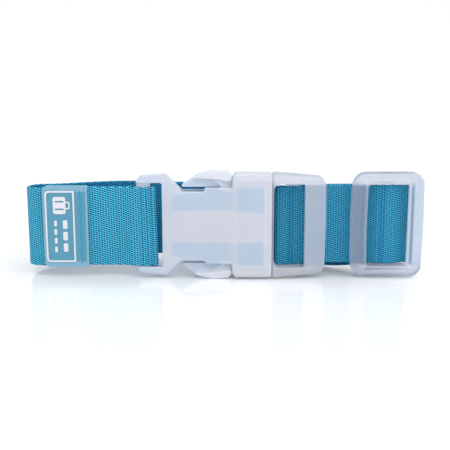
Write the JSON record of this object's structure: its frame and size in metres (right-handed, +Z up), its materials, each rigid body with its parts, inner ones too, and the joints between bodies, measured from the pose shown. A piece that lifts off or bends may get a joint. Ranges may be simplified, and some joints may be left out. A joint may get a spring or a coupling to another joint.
{
  "type": "luggage strap",
  "caption": "Adjustable suitcase belt: a woven webbing loop closed by a side-release buckle, with a slide adjuster and a sewn flap label.",
  "frame": {"origin": "on the table under the middle of the closed loop's box", "axes": "+X along the strap from the label end to the adjuster, +Y away from the buckle's front, +Z up across the webbing's width"},
  "size_m": [0.25, 0.0578, 0.068],
  "materials": {
    "frosted_plastic": "frosted, translucent, fine matte",
    "webbing": "woven, slight sheen",
    "label_pvc": "soft, translucent, satin",
    "label_print": "raised, satin",
    "thread": "twisted sewing thread"
  },
  "bodies": {
    "socket_half": {"socket": "frosted_plastic", "webbing_socket_fold": "webbing", "webbing_front_run": "webbing", "webbing_left_bend": "webbing", "webbing_back_run": "webbing", "label_hem": "label_pvc", "label_stitches": "thread"},
    "plug_half": {"plug_base": "frosted_plastic", "webbing_plug_loop": "webbing"},
    "upper_latch": {"upper_arm": "frosted_plastic"},
    "lower_latch": {"lower_arm": "frosted_plastic"},
    "adjuster_slide_body": {"adjuster": "frosted_plastic", "webbing_turn": "webbing", "webbing_adjuster_pass": "webbing", "webbing_end_loop": "webbing", "end_stitches": "thread"},
    "label_flap_body": {"label_flap": "label_pvc", "label_border": "label_print", "label_emblem": "label_print", "label_bars": "label_print"}
  },
  "joints": [
    {"name": "buckle_pull", "type": "slide", "parent": "socket_half", "child": "plug_half", "axis": [1, 0, 0], "range_m": [0, 0.06], "deforming": ["webbing_back_run"]},
    {"name": "upper_squeeze", "type": "hinge", "parent": "plug_half", "child": "upper_latch", "pos_m": [0.027, -0.02185, 0.0615], "axis": [0, -1, 0], "range_deg": [0, 7.5], "stiffness_Nm_per_rad": 4, "deforming": ["upper_arm"]},
    {"name": "lower_squeeze", "type": "hinge", "parent": "plug_half", "child": "lower_latch", "pos_m": [0.027, -0.02185, 0.0065], "axis": [0, 1, 0], "range_deg": [0, 7.5], "stiffness_Nm_per_rad": 4, "deforming": ["lower_arm"]},
    {"name": "adjuster_slide", "type": "slide", "parent": "plug_half", "child": "adjuster_slide_body", "axis": [1, 0, 0], "range_m": [-0.012, 0], "deforming": ["webbing_turn", "webbing_adjuster_pass", "webbing_end_loop"]},
    {"name": "label_lift", "type": "hinge", "parent": "socket_half", "child": "label_flap_body", "pos_m": [-0.091, -0.0238, 0.033], "axis": [0, 0, 1], "range_deg": [0, 60], "stiffness_Nm_per_rad": 0.02}
  ]
}
